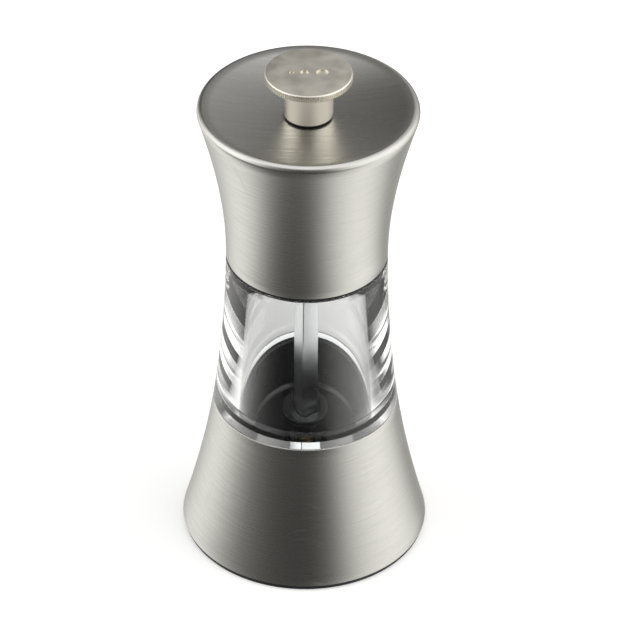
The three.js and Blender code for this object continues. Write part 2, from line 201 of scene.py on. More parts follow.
def follow(radius_at, start, end, steps):
    """Points along an outline, from one height to another."""
    heights = [start + (end - start) * i / steps for i in range(steps + 1)]
    return [(radius_at(z), z) for z in heights]


def is_corner(before, here, after, limit=math.radians(25)):
    one = Vector(here) - Vector(before)
    two = Vector(after) - Vector(here)
    return one.length > 0 and two.length > 0 and one.angle(two) > limit


def add_outline(bm, outline, edge, closed):
    """Lays a section in the XZ plane and rounds its corners."""
    verts = [bm.verts.new((r, 0.0, z)) for r, z in outline]
    for first, second in zip(verts, verts[1:]):
        bm.edges.new((first, second))
    if closed:
        bm.edges.new((verts[-1], verts[0]))
    count = len(verts)
    inner = range(count) if closed else range(1, count - 1)
    corners = [verts[i] for i in inner if is_corner(outline[i - 1], outline[i], outline[(i + 1) % count])]
    if edge and corners:
        bmesh.ops.bevel(bm, geom=corners, offset=edge, offset_type="OFFSET", segments=3, profile=0.5,
                        affect="VERTICES", material=-1, clamp_overlap=True)


def turn_outline(bm, steps):
    bmesh.ops.spin(bm, geom=bm.verts[:] + bm.edges[:], cent=(0, 0, 0), axis=(0, 0, 1), dvec=(0, 0, 0),
                   angle=2 * math.pi, steps=steps, use_merge=True, use_duplicate=False)
    bmesh.ops.remove_doubles(bm, verts=bm.verts[:], dist=MERGE)
    bmesh.ops.recalc_face_normals(bm, faces=bm.faces[:])


def turned(outline, steps=TURN_STEPS, edge=0.15 * MM):
    """A turned body. A ring's outline goes round its section, and a solid's starts and ends on the axis."""
    bm = bmesh.new()
    add_outline(bm, outline, edge, closed=outline[0][0] > 0)
    turn_outline(bm, steps)
    return bm


def ring(inner, outer, bottom, top, steps=SMALL_STEPS, edge=0.1 * MM):
    return turned([(inner, bottom), (outer, bottom), (outer, top), (inner, top)], steps, edge)


def rod(radius, bottom, top, steps=SMALL_STEPS, edge=0.0):
    return turned([(0.0, bottom), (radius, bottom), (radius, top), (0.0, top)], steps, edge)


def prism(radius, corners, turn, bottom, top, edge=0.0):
    """A bar of that many sides whose corners lie at the radius."""
    bm = bmesh.new()
    bmesh.ops.create_circle(bm, cap_ends=True, radius=radius, segments=corners,
                            matrix=Matrix.Translation((0, 0, bottom)) @ Matrix.Rotation(turn, 4, "Z"))
    extruded = bmesh.ops.extrude_face_region(bm, geom=bm.faces[:])["geom"]
    moved = [item for item in extruded if isinstance(item, bmesh.types.BMVert)]
    bmesh.ops.translate(bm, verts=moved, vec=(0, 0, top - bottom))
    if edge:
        upright = [e for e in bm.edges if abs(e.verts[0].co.z - e.verts[1].co.z) > edge]
        bmesh.ops.bevel(bm, geom=upright, offset=edge, offset_type="OFFSET", segments=3, profile=0.5,
                        affect="EDGES", material=-1, clamp_overlap=True)
    bmesh.ops.recalc_face_normals(bm, faces=bm.faces[:])
    return bm


def square_bar(side, turn, bottom, top, edge=0.0):
    return prism(side / math.sqrt(2), 4, turn + math.pi / 4, bottom, top, edge)


def wedge(direction, angle, inner, outer, bottom, top, steps=24):
    """A sector of a ring, centred on a direction."""
    bm = bmesh.new()
    corners = [(inner, bottom), (outer, bottom), (outer, top), (inner, top)]
    verts = [bm.verts.new((r, 0.0, z)) for r, z in corners]
    bm.faces.new(verts)
    bmesh.ops.rotate(bm, verts=bm.verts[:], cent=(0, 0, 0),
                     matrix=Matrix.Rotation(direction - angle / 2, 3, "Z"))
    bmesh.ops.spin(bm, geom=bm.verts[:] + bm.edges[:] + bm.faces[:], cent=(0, 0, 0), axis=(0, 0, 1),
                   dvec=(0, 0, 0), angle=angle, steps=steps, use_merge=False, use_duplicate=False)
    bmesh.ops.recalc_face_normals(bm, faces=bm.faces[:])
    return bm


def object_from(bm, name):
    mesh = bpy.data.meshes.new(name)
    bm.to_mesh(mesh)
    bm.free()
    piece = bpy.data.objects.new(name, mesh)
    bpy.context.scene.collection.objects.link(piece)
    return piece


def boolean(piece, operation, tools):
    """Joins or cuts a piece with the tools' bodies, and clears the tools away."""
    cutters = [object_from(tool, piece.name + ".tool") for tool in tools]
    for cutter in cutters:
        modifier = piece.modifiers.new("boolean", "BOOLEAN")
        modifier.operation = operation
        modifier.solver = "EXACT"
        modifier.object = cutter
    bpy.context.view_layer.update()
    finished = piece.evaluated_get(bpy.context.evaluated_depsgraph_get())
    old = piece.data
    piece.data = bpy.data.meshes.new_from_object(finished)
    piece.modifiers.clear()
    bpy.data.meshes.remove(old)
    for cutter in cutters:
        mesh = cutter.data
        bpy.data.objects.remove(cutter)
        bpy.data.meshes.remove(mesh)


def finish_piece(piece, materials, body, nodes, angle=35):
    """Gives a piece its finish, and seats it in place of its frame nodes, on its body if it has just one."""
    mesh = piece.data
    mesh.name = piece.name
    mesh.materials.clear()
    for material in materials:
        mesh.materials.append(material)
    mesh.polygons.foreach_set("use_smooth", [True] * len(mesh.polygons))
    mesh.set_sharp_from_angle(angle=math.radians(angle))
    mesh.update()
    if body:
        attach(piece, body)
    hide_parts(*nodes)
    return piece


# ---------------------------------------------------------------- materials


class Wiring:
    """Adds nodes to a tree and links them."""

    def __init__(self, tree):
        self.tree = tree

    def add(self, kind, inputs=None, **options):
        made = self.tree.nodes.new(kind)
        for option, value in options.items():
            setattr(made, option, value)
        for socket, value in (inputs or {}).items():
            if isinstance(value, bpy.types.NodeSocket):
                self.tree.links.new(value, made.inputs[socket])
            else:
                made.inputs[socket].default_value = value
        return made

    def math(self, operation, *values):
        return self.add("ShaderNodeMath", dict(enumerate(values)), operation=operation).outputs[0]

    def remap(self, value, low, high, to_low, to_high):
        inputs = {"Value": value, "From Min": low, "From Max": high, "To Min": to_low, "To Max": to_high}
        return self.add("ShaderNodeMapRange", inputs).outputs["Result"]

    def blend(self, factor, first, second):
        made = self.add("ShaderNodeMix", data_type="RGBA")
        colours = [s for s in made.inputs if s.type == "RGBA"]
        for socket, value in ((made.inputs["Factor"], factor), (colours[0], first), (colours[1], second)):
            if isinstance(value, bpy.types.NodeSocket):
                self.tree.links.new(value, socket)
            else:
                socket.default_value = value
        return [s for s in made.outputs if s.type == "RGBA"][0]


def new_group(name, inputs, outputs):
    """A shader group with its sockets. Inputs are (name, kind, default), and outputs are (name, kind)."""
    tree = bpy.data.node_groups.new(name, "ShaderNodeTree")
    for label, kind, default in inputs:
        socket = tree.interface.new_socket(name=label, in_out="INPUT", socket_type=kind)
        if default is not None:
            socket.default_value = default
    for label, kind in outputs:
        tree.interface.new_socket(name=label, in_out="OUTPUT", socket_type=kind)
    wiring = Wiring(tree)
    source = wiring.add("NodeGroupInput")
    sink = wiring.add("NodeGroupOutput")
    return tree, wiring, source.outputs, sink.inputs


FLOAT, VECTOR = "NodeSocketFloat", "NodeSocketVector"


def round_brushing_group():
    """Fine lines that run round the axis, as a lathe's abrasive leaves them."""
    tree, w, given, out = new_group(
        "round_brushing",
        [("Vector", VECTOR, None), ("Lines", FLOAT, 9000.0), ("Run", FLOAT, 7.0)],
        [("Fine", FLOAT), ("Broad", FLOAT)],
    )
    xyz = w.add("ShaderNodeSeparateXYZ", {0: given["Vector"]}).outputs
    square = w.math("ADD", w.math("MULTIPLY", xyz[0], xyz[0]), w.math("MULTIPLY", xyz[1], xyz[1]))
    radius = w.math("MAXIMUM", w.math("SQRT", square), 1e-5)
    across = w.math("MULTIPLY", w.math("ADD", xyz[2], radius), given["Lines"])
    round_x = w.math("MULTIPLY", w.math("DIVIDE", xyz[0], radius), given["Run"])
    round_y = w.math("MULTIPLY", w.math("DIVIDE", xyz[1], radius), given["Run"])
    place = w.add("ShaderNodeCombineXYZ", {0: round_x, 1: round_y, 2: across}).outputs[0]
    fine = w.add("ShaderNodeTexNoise", {"Vector": place, "Scale": 1.0, "Detail": 3.0, "Roughness": 0.65})
    wider = w.math("MULTIPLY", across, 0.3)
    wide = w.add("ShaderNodeCombineXYZ", {0: round_x, 1: round_y, 2: wider}).outputs[0]
    broad = w.add("ShaderNodeTexNoise", {"Vector": wide, "Scale": 1.0, "Detail": 2.0})
    tree.links.new(fine.outputs["Fac"], out["Fine"])
    tree.links.new(broad.outputs["Fac"], out["Broad"])
    return tree


def straight_brushing_group():
    """Fine lines that run along X, as a belt leaves them."""
    tree, w, given, out = new_group(
        "straight_brushing",
        [("Vector", VECTOR, None), ("Lines", FLOAT, 7000.0), ("Run", FLOAT, 180.0)],
        [("Fine", FLOAT), ("Broad", FLOAT)],
    )
    xyz = w.add("ShaderNodeSeparateXYZ", {0: given["Vector"]}).outputs
    run = w.math("MULTIPLY", xyz[0], given["Run"])
    across = w.math("MULTIPLY", xyz[1], given["Lines"])
    place = w.add("ShaderNodeCombineXYZ", {0: run, 1: across, 2: 0.0}).outputs[0]
    fine = w.add("ShaderNodeTexNoise", {"Vector": place, "Scale": 1.0, "Detail": 3.0, "Roughness": 0.65})
    longer, wider = w.math("MULTIPLY", run, 0.4), w.math("MULTIPLY", across, 0.3)
    wide = w.add("ShaderNodeCombineXYZ", {0: longer, 1: wider, 2: 3.0}).outputs[0]
    broad = w.add("ShaderNodeTexNoise", {"Vector": wide, "Scale": 1.0, "Detail": 2.0})
    tree.links.new(fine.outputs["Fac"], out["Fine"])
    tree.links.new(broad.outputs["Fac"], out["Broad"])
    return tree


def scratches_group():
    """Hair scratches from handling, which run in a few directions."""
    tree, w, given, out = new_group(
        "hair_scratches",
        [("Vector", VECTOR, None), ("Scale", FLOAT, 60.0), ("Amount", FLOAT, 0.5)],
        [("Mask", FLOAT)],
    )
    total = None
    for turn, stretch in ((0.5, 26.0), (1.25, 34.0), (2.3, 30.0)):
        spot = w.add("ShaderNodeMapping", {"Vector": given["Vector"], "Rotation": (0.0, 0.0, turn),
                                           "Scale": (1.0, stretch, 1.0), "Location": (turn, stretch, turn)})
        lines = w.add("ShaderNodeTexNoise",
                      {"Vector": spot.outputs[0], "Scale": given["Scale"], "Detail": 2.0})
        mask = w.remap(lines.outputs["Fac"], 0.66, 0.72, 0.0, 1.0)
        total = mask if total is None else w.math("MAXIMUM", total, mask)
    patches = w.add("ShaderNodeTexNoise", {"Vector": given["Vector"], "Scale": 70.0, "Detail": 1.0})
    where = w.remap(patches.outputs["Fac"], 0.45, 0.6, 0.0, 1.0)
    result = w.math("MULTIPLY", w.math("MULTIPLY", total, where), given["Amount"])
    tree.links.new(result, out["Mask"])
    return tree


def grain_group():
    """Fine even grain, as on a plated, moulded or fired surface."""
    tree, w, given, out = new_group(
        "fine_grain",
        [("Vector", VECTOR, None), ("Scale", FLOAT, 6000.0)],
        [("Grain", FLOAT), ("Cloud", FLOAT)],
    )
    grain = w.add("ShaderNodeTexNoise", {"Vector": given["Vector"], "Scale": given["Scale"], "Detail": 4.0})
    cloud_scale = w.math("MULTIPLY", given["Scale"], 0.04)
    cloud = w.add("ShaderNodeTexNoise", {"Vector": given["Vector"], "Scale": cloud_scale, "Detail": 2.0})
    tree.links.new(grain.outputs["Fac"], out["Grain"])
    tree.links.new(cloud.outputs["Fac"], out["Cloud"])
    return tree


GROUP_MAKERS = {
    "round_brushing": round_brushing_group,
    "straight_brushing": straight_brushing_group,
    "hair_scratches": scratches_group,
    "fine_grain": grain_group,
}


def group_tree(name):
    return bpy.data.node_groups.get(name) or GROUP_MAKERS[name]()


def start_material(name, **constants):
    """A material with its shader, and the Object coordinates to build on."""
    material = bpy.data.materials.new("finish_" + name)
    material.use_nodes = True
    material.node_tree.nodes.clear()
    w = Wiring(material.node_tree)
    shader = w.add("ShaderNodeBsdfPrincipled", constants)
    output = w.add("ShaderNodeOutputMaterial")
    material.node_tree.links.new(shader.outputs[0], output.inputs["Surface"])
    place = w.add("ShaderNodeTexCoord").outputs["Object"]
    return material, w, shader, place


def use_group(w, name, **inputs):
    made = w.add("ShaderNodeGroup", node_tree=group_tree(name))
    for label, value in inputs.items():
        if isinstance(value, bpy.types.NodeSocket):
            w.tree.links.new(value, made.inputs[label])
        else:
            made.inputs[label].default_value = value
    return made.outputs


def tone(w, colour_value, value, low, high):
    """The colour, darker and lighter as the value goes from 0 to 1."""
    dark = tuple(c * low for c in colour_value) + (1.0,)
    light = tuple(min(1.0, c * high) for c in colour_value) + (1.0,)
    return w.blend(value, dark, light)


def set_bump(w, shader, height, strength, distance):
    bump = w.add("ShaderNodeBump", {"Height": height, "Strength": strength, "Distance": distance})
    w.tree.links.new(bump.outputs[0], shader.inputs["Normal"])


def brushed_metal(name, metal, brushing, lines, run, roughness, anisotropic, scratch, depth=1.0, uv=None):
    """Brushed steel. Depth is how strong the marks are, and a named flat plan sets the way they run."""
    material, w, shader, place = start_material(
        name, Metallic=1.0, Anisotropic=anisotropic, Roughness=roughness)
    marks = use_group(w, brushing, Vector=place, Lines=lines, Run=run)
    mixed = w.math("ADD", w.math("MULTIPLY", marks["Fine"], 0.6), w.math("MULTIPLY", marks["Broad"], 0.4))
    value = w.remap(mixed, 0.3, 0.7, 0.0, 1.0)
    shade = tone(w, metal, value, 1.0 - 0.06 * depth, 1.0 + 0.05 * depth)
    w.tree.links.new(shade, shader.inputs["Base Color"])
    rough = w.remap(mixed, 0.3, 0.7, roughness * (1.0 + 0.1 * depth), roughness * (1.0 - 0.1 * depth))
    mask = use_group(w, "hair_scratches", Vector=place, Amount=scratch)["Mask"]
    rough = w.math("ADD", rough, w.math("MULTIPLY", mask, 0.2))
    w.tree.links.new(rough, shader.inputs["Roughness"])
    set_bump(w, shader, marks["Fine"], 0.12 * depth, 0.01 * MM)
    if uv:
        tangent = w.add("ShaderNodeTangent", direction_type="UV_MAP", uv_map=uv)
    else:
        tangent = w.add("ShaderNodeTangent", direction_type="RADIAL", axis="Z")
    w.tree.links.new(tangent.outputs[0], shader.inputs["Tangent"])
    return material


def grained(name, base, roughness, metallic=0.0, scale=6000.0, contrast=0.06, bump=0.15, **constants):
    """A plated, moulded or fired surface with fine grain."""
    material, w, shader, place = start_material(name, Metallic=metallic, Roughness=roughness, **constants)
    grain = use_group(w, "fine_grain", Vector=place, Scale=scale)
    value = w.math("ADD", w.math("MULTIPLY", grain["Grain"], 0.5), w.math("MULTIPLY", grain["Cloud"], 0.5))
    value = w.remap(value, 0.35, 0.65, 0.0, 1.0)
    w.tree.links.new(tone(w, base, value, 1.0 - contrast, 1.0 + contrast), shader.inputs["Base Color"])
    rough = w.remap(grain["Cloud"], 0.3, 0.7, roughness * 0.85, roughness * 1.15)
    w.tree.links.new(rough, shader.inputs["Roughness"])
    set_bump(w, shader, grain["Grain"], bump, 0.02 * MM)
    return material


def acrylic(tint):
    material, w, shader, place = start_material(
        "clear_acrylic", Roughness=0.0, IOR=1.49, Metallic=0.0, **{"Transmission Weight": 1.0})
    grain = use_group(w, "fine_grain", Vector=place, Scale=700.0)
    value = w.remap(grain["Cloud"], 0.3, 0.7, 0.0, 1.0)
    w.tree.links.new(tone(w, tint, value, 0.985, 1.0), shader.inputs["Base Color"])
    return material


FINISHES = {}


def material(name):
    """A finish by its name, made once."""
    made = FINISHES.get(name)
    if made:
        return made
    scene = bpy.context.scene
    steel, inside = scene.mill_steel, scene.mill_mechanism
    makers = {
        "steel_round": lambda: brushed_metal(
            "steel_round", steel.metal, "round_brushing", 5200.0, 2.2, 0.28, 0.7, 0.35),
        "steel_straight": lambda: brushed_metal(
            "steel_straight", steel.metal, "straight_brushing", 2800.0, 60.0, 0.30, 0.6, 1.0, 2.2,
            "top_plan"),
        "satin_nickel": lambda: grained(
            "satin_nickel", scene.mill_knob.metal, 0.42, 1.0, 5200.0, 0.03, 0.1),
        "shaft_metal": lambda: grained("shaft_metal", inside.shaft_metal, 0.32, 1.0, 4200.0, 0.08, 0.2),
        "zinc_steel": lambda: grained("zinc_steel", inside.shaft_metal, 0.35, 1.0, 4200.0, 0.08, 0.2),
        "spring_steel": lambda: grained("spring_steel", inside.spring_metal, 0.28, 1.0, 5200.0, 0.12, 0.1),
        "black_plastic": lambda: grained("black_plastic", inside.plastic, 0.16, 0.0, 1500.0, 0.15, 0.05),
        "gloss_black": lambda: grained("gloss_black", inside.plastic, 0.10, 0.0, 1500.0, 0.15, 0.03),
        "matte_black": lambda: grained("matte_black", inside.plastic, 0.6, 0.0, 5000.0, 0.2, 0.4),
        "ceramic": lambda: grained("ceramic", inside.ceramic, 0.35, 0.0, 5000.0, 0.05, 0.2),
        "clear_acrylic": lambda: acrylic(scene.mill_hopper.tint),
    }
    FINISHES[name] = makers[name]()
    return FINISHES[name]


# ---------------------------------------------------------------- steel skins


def base_outline():
    steel = bpy.context.scene.mill_steel
    shoulder = radius_of("clear_body")
    return curve_through(low_z("base_shell"), high_z("base_shell"),
                         [radius_of("base_shell"), steel.base_middle, shoulder])


def crown_wall():
    """The crown's outline, up to where its rim starts to round."""
    steel = bpy.context.scene.mill_steel
    waist = radius_of("glide_ring") + SEAM
    top = high_z("crown_shell") - steel.rim_round
    return curve_through(low_z("crown_shell"), top,
                         [waist, steel.crown_lower, steel.crown_upper, radius_of("crown_shell")]), top


def dish_height(radius):
    """The height of the crown's dished top at a radius."""
    steel = bpy.context.scene.mill_steel
    edge = radius_of("crown_shell") - steel.rim_round
    return high_z("crown_shell") - steel.dish_depth * (1 - (radius / edge) ** 2)


class MILL_OT_base_skin(bpy.types.Operator):
    """Spins the steel base's skin"""

    bl_idname = "mill.base_skin"
    bl_label = "Base skin"

    def execute(self, context):
        steel = context.scene.mill_steel
        outside = base_outline()
        bottom, top = low_z("base_shell"), high_z("base_shell")
        inside = lambda z: outside(z) - steel.skin
        outline = follow(outside, bottom, top, 16) + follow(inside, top, bottom, 10)
        piece = object_from(turned(outline, TURN_STEPS, steel.edge), "base_skin")
        finish_piece(piece, [material("steel_round")], "housing", ["base_shell"])
        return {"FINISHED"}


class MILL_OT_crown_skin(bpy.types.Operator):
    """Spins the steel crown with its dished top"""

    bl_idname = "mill.crown_skin"
    bl_label = "Crown skin"

    def execute(self, context):
        steel = context.scene.mill_steel
        outside, wall_top = crown_wall()
        bottom = low_z("crown_shell")
        edge = radius_of("crown_shell") - steel.rim_round
        inside = lambda z: outside(z) - steel.skin
        rim = []
        for i in range(1, 9):
            turn = math.pi / 2 * i / 8
            rim.append((edge + steel.rim_round * math.cos(turn), wall_top + steel.rim_round * math.sin(turn)))
        radii = [edge + (steel.hole - edge) * i / 12 for i in range(1, 13)]
        dish = [(r, dish_height(r)) for r in radii]
        under = [(r, dish_height(r) - steel.skin) for r in reversed(radii)]
        outline = (follow(outside, bottom, wall_top, 20) + rim + dish + under
                   + [(edge - steel.skin / 2, dish_height(edge) - 1.2 * steel.skin)]
                   + follow(inside, wall_top - steel.skin, bottom, 12))
        piece = object_from(turned(outline, TURN_STEPS, steel.edge), "crown_skin")
        finish_piece(piece, [material("steel_round"), material("steel_straight")],
                     "crown", ["crown_shell"], 50)
        self.plan_top(piece.data, edge)
        return {"FINISHED"}

    def plan_top(self, mesh, edge):
        """Marks the dished top, and lays a flat plan over it for the brushing's direction."""
        plan = mesh.uv_layers.new(name="top_plan")
        for face in mesh.polygons:
            reach = face.center.xy.length
            if face.normal.z > 0.5 and reach < edge:
                face.material_index = 1
            for loop in face.loop_indices:
                spot = mesh.vertices[mesh.loops[loop].vertex_index].co
                plan.data[loop].uv = (spot.x / edge, spot.y / edge)


# ---------------------------------------------------------------- hopper and black trim

FOOT_WIDTH = 6.6 * MM
FOOT_RIB = 1.6 * MM


class MILL_OT_hopper(bpy.types.Operator):
    """Spins the clear hopper with its skirt and neck"""

    bl_idname = "mill.hopper"
    bl_label = "Hopper"

    def execute(self, context):
        clear = context.scene.mill_hopper
        bottom, top = low_z("clear_body"), high_z("clear_body")
        shoulder = high_z("base_shell") + SEAM
        seam = low_z("glide_ring") - SEAM
        outside = curve_through(shoulder, seam,
                                [radius_of("clear_body"), clear.middle, radius_of("glide_ring") + SEAM])
        skirt = clear.bore + clear.skirt
        outline = ([(clear.bore, bottom), (skirt, bottom), (skirt, shoulder)]
                   + follow(outside, shoulder, seam, 20)
                   + [(clear.neck, seam), (clear.neck, top), (clear.bore, top)])
        piece = object_from(turned(outline, TURN_STEPS, clear.edge), "hopper_clear")
        finish_piece(piece, [material("clear_acrylic")], "housing", ["clear_body"])
        return {"FINISHED"}


class MILL_OT_trim(bpy.types.Operator):
    """Spins the foot, the seam ring under the crown and the washer under the knob"""

    bl_idname = "mill.trim"
    bl_label = "Foot and seam rings"

    def execute(self, context):
        low, high = box_of("foot_ring")
        step = low_z("base_shell") - SEAM
        lip = base_outline()(high.z) - context.scene.mill_steel.skin - 0.3 * MM
        inner = high.x - FOOT_WIDTH
        foot = turned([(inner, low.z), (high.x, low.z), (high.x, step), (lip, step), (lip, high.z),
                       (lip - FOOT_RIB, high.z), (lip - FOOT_RIB, step), (inner, step)], TURN_STEPS, 0.2 * MM)
        finish_piece(object_from(foot, "foot"), [material("matte_black")],
                     "housing", ["foot_ring"])
        low, high = box_of("glide_ring")
        bore = context.scene.mill_hopper.neck + 0.3 * MM
        flange = low_z("crown_shell") - SEAM
        sleeve = high.x - context.scene.mill_steel.skin - SEAM
        seam = turned([(bore, low.z), (high.x, low.z), (high.x, flange), (sleeve, flange),
                       (sleeve, high.z), (bore, high.z)], TURN_STEPS, 0.08 * MM)
        finish_piece(object_from(seam, "seam_ring"), [material("matte_black")],
                     "crown", ["glide_ring"])
        low, high = box_of("knob_washer")
        washer = ring(context.scene.mill_steel.hole, high.x, low.z, high.z, SMALL_STEPS, 0.05 * MM)
        finish_piece(object_from(washer, "knob_shim"), [material("matte_black")],
                     "knob", ["knob_washer"])
        return {"FINISHED"}


# ---------------------------------------------------------------- knob

# Each grind dot's place along X, and its share of the largest dot's radius.
GRIND_DOTS = ((-4.3 * MM, 0.45), (-1.1 * MM, 0.7), (3.4 * MM, 1.0))


class MILL_OT_knob(bpy.types.Operator):
    """Spins the knob, cuts its knurling and sinks three grind dots in its top"""

    bl_idname = "mill.knob"
    bl_label = "Knob"

    def execute(self, context):
        knob = context.scene.mill_knob
        low, high = box_of("knob")
        steps = knob.teeth * 4
        bore = context.scene.mill_steel.hole
        roof = high.z - knob.bore_roof
        under = high.z - knob.disc
        plain = high.x - knob.bevel
        outline = [(0.0, roof), (bore, roof), (bore, low.z), (knob.stem, low.z), (knob.stem, under),
                   (plain, under), (high.x, under + knob.bevel), (high.x, high.z - knob.bevel),
                   (plain, high.z), (knob.stem, high.z)]
        bm = bmesh.new()
        add_outline(bm, outline, 0.12 * MM, closed=False)
        turn_outline(bm, steps)
        self.close_top(bm, high.z)
        self.knurl(bm, high.x, steps, knob.tooth)
        piece = object_from(bm, "knurled_knob")
        boolean(piece, "DIFFERENCE", self.grind_dots(knob, high.z))
        finish_piece(piece, [material("satin_nickel")], "knob", ["knob"], 28)
        return {"FINISHED"}

    def close_top(self, bm, top):
        """Fills the flat middle of the top with one face."""
        rim = [e for e in bm.edges if e.is_boundary and e.verts[0].co.z > top - MERGE * 10]
        bmesh.ops.contextual_create(bm, geom=rim)
        bmesh.ops.recalc_face_normals(bm, faces=bm.faces[:])

    def knurl(self, bm, radius, steps, depth):
        """Draws every other pair of the edge's points inwards."""
        for vert in bm.verts:
            if vert.co.xy.length < radius - 0.02 * MM:
                continue
            place = round(math.atan2(vert.co.y, vert.co.x) / (2 * math.pi) * steps) % 4
            if place in (2, 3):
                vert.co.xy *= 1 - depth / radius

    def grind_dots(self, knob, top):
        """Cutters for three round dots in a row that grow from fine to coarse."""
        cutters = []
        for place, share in GRIND_DOTS:
            dot = prism(knob.dot * share, 32, 0.0, top - knob.dot_depth, top + knob.dot_depth)
            bmesh.ops.translate(dot, verts=dot.verts[:], vec=(place, 0, 0))
            cutters.append(dot)
        return cutters


# ---------------------------------------------------------------- shaft, collar, spring

SQUARE_DEPTH = 2.2 * MM
BUSH_REACH = 6.6 * MM
CORE_SQUARE = 2.6 * MM
TAIL = 1.2 * MM
COLLAR_TUBE = 3.85 * MM
COLLAR_TUBE_LENGTH = 0.5 * MM
COLLAR_LIP = 1.5 * MM
COLLAR_WALL = 0.7 * MM
SOCKET_TOP = 0.5 * MM
SOCKET_BOTTOM = 3.3 * MM
STEPS_PER_COIL = 40


class MILL_OT_shaft(bpy.types.Operator):
    """Joins the square shaft, its threaded stud and its journal"""

    bl_idname = "mill.shaft"
    bl_label = "Shaft"

    def execute(self, context):
        inside = context.scene.mill_mechanism
        low, high = box_of("spindle")
        square_low = high_z("drive_collar") - SQUARE_DEPTH
        square_top = high_z("drive_bush") + BUSH_REACH
        core_top = high_z("rotor_core")
        bar = square_bar(inside.shaft, inside.shaft_turn, square_low, square_top, inside.shaft_edge)
        piece = object_from(bar, "drive_shaft")
        boolean(piece, "UNION", [
            self.stud(inside, square_top, high.z),
            rod(inside.journal, core_top + SEAM, square_low + MM),
            square_bar(CORE_SQUARE, inside.shaft_turn, low_z("rotor_core"), core_top + MM, 0.1 * MM),
            rod(TAIL, low.z, low_z("rotor_core") + MM, 48, 0.15 * MM),
        ])
        finish_piece(piece, [material("shaft_metal")], "spindle", ["spindle"])
        return {"FINISHED"}

    def stud(self, inside, bottom, top):
        """A turned stud with V grooves at the thread's pitch."""
        root = inside.stud - 0.5 * inside.pitch
        outline = [(0.0, bottom - MM), (root, bottom - MM), (root, bottom + 2 * MM)]
        z = bottom + 2 * MM
        while z + inside.pitch < top - 0.5 * MM:
            outline += [(inside.stud, z + 0.4 * inside.pitch), (inside.stud, z + 0.6 * inside.pitch),
                        (root, z + inside.pitch)]
            z += inside.pitch
        outline += [(root, top), (0.0, top)]
        return turned(outline, 48, 0.0)


class MILL_OT_collar(bpy.types.Operator):
    """Turns the black collar that the shaft drives, and the spring's seat"""

    bl_idname = "mill.collar"
    bl_label = "Drive collar"

    def execute(self, context):
        inside = context.scene.mill_mechanism
        low, high = box_of("drive_collar")
        bore = inside.journal + inside.clearance
        socket = inside.shaft + 2 * inside.clearance
        mouth = socket / math.sqrt(2) + inside.clearance
        shoulder = socket / math.sqrt(2) + COLLAR_WALL
        lip = high.z - COLLAR_LIP
        step = low.z + COLLAR_TUBE_LENGTH
        outline = [(bore, low.z), (COLLAR_TUBE, low.z), (COLLAR_TUBE, step), (shoulder, step),
                   (shoulder, lip), (high.x, lip), (high.x, high.z), (mouth, high.z),
                   (mouth - 0.25 * MM, high.z - MM), (bore, high.z - MM)]
        piece = object_from(turned(outline, SMALL_STEPS, 0.25 * MM), "drive_collar_cap")
        boolean(piece, "DIFFERENCE", [
            square_bar(socket, inside.shaft_turn, high.z - SOCKET_BOTTOM, high.z - SOCKET_TOP, 0.2 * MM)])
        finish_piece(piece, [material("gloss_black")], "drive", ["drive_collar"])
        low, high = box_of("spring_seat")
        seat = ring(bore, high.x, low.z, high.z)
        finish_piece(object_from(seat, "spring_seat_washer"), [material("zinc_steel")],
                     "drive", ["spring_seat"])
        return {"FINISHED"}


class MILL_OT_spring(bpy.types.Operator):
    """Winds the coil spring"""

    bl_idname = "mill.spring"
    bl_label = "Spring"

    def execute(self, context):
        inside = context.scene.mill_mechanism
        low, high = box_of("spring")
        steps = int(inside.coils * STEPS_PER_COIL)
        bottom, top = low.z + inside.wire, high.z - inside.wire
        radius = inside.journal + inside.clearance + inside.wire
        bm = bmesh.new()
        bmesh.ops.create_circle(bm, cap_ends=True, radius=inside.wire, segments=14)
        bmesh.ops.rotate(bm, verts=bm.verts[:], cent=(0, 0, 0), matrix=Matrix.Rotation(math.pi / 2, 3, "X"))
        bmesh.ops.translate(bm, verts=bm.verts[:], vec=(radius, 0, bottom))
        bmesh.ops.spin(bm, geom=bm.verts[:] + bm.edges[:] + bm.faces[:], cent=(0, 0, 0), axis=(0, 0, 1),
                       dvec=(0, 0, (top - bottom) / steps), angle=2 * math.pi * inside.coils, steps=steps,
                       use_merge=False, use_duplicate=False)
        bmesh.ops.recalc_face_normals(bm, faces=bm.faces[:])
        piece = object_from(bm, "coil_spring")
        finish_piece(piece, [material("spring_steel")], None, ["spring"])
        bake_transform(piece)
        return {"FINISHED"}


# ---------------------------------------------------------------- carrier and burrs

FRONT, BACK = -math.pi / 2, math.pi / 2
RING_WALL = 1.5 * MM
RING_DEPTH = 13.65 * MM
FLOOR_SHEET = 1.4 * MM
FLANGE = 2.0 * MM
GUIDE_HEIGHT = 10.0 * MM
HUB_WALL = 1.2 * MM
HUB_DROP = 1.65 * MM
SCREW_HOLE = 1.4 * MM
RING_WINDOW, HUB_WINDOW, FRONT_FEED, BACK_FEED = (math.radians(angle) for angle in (84, 110, 100, 60))


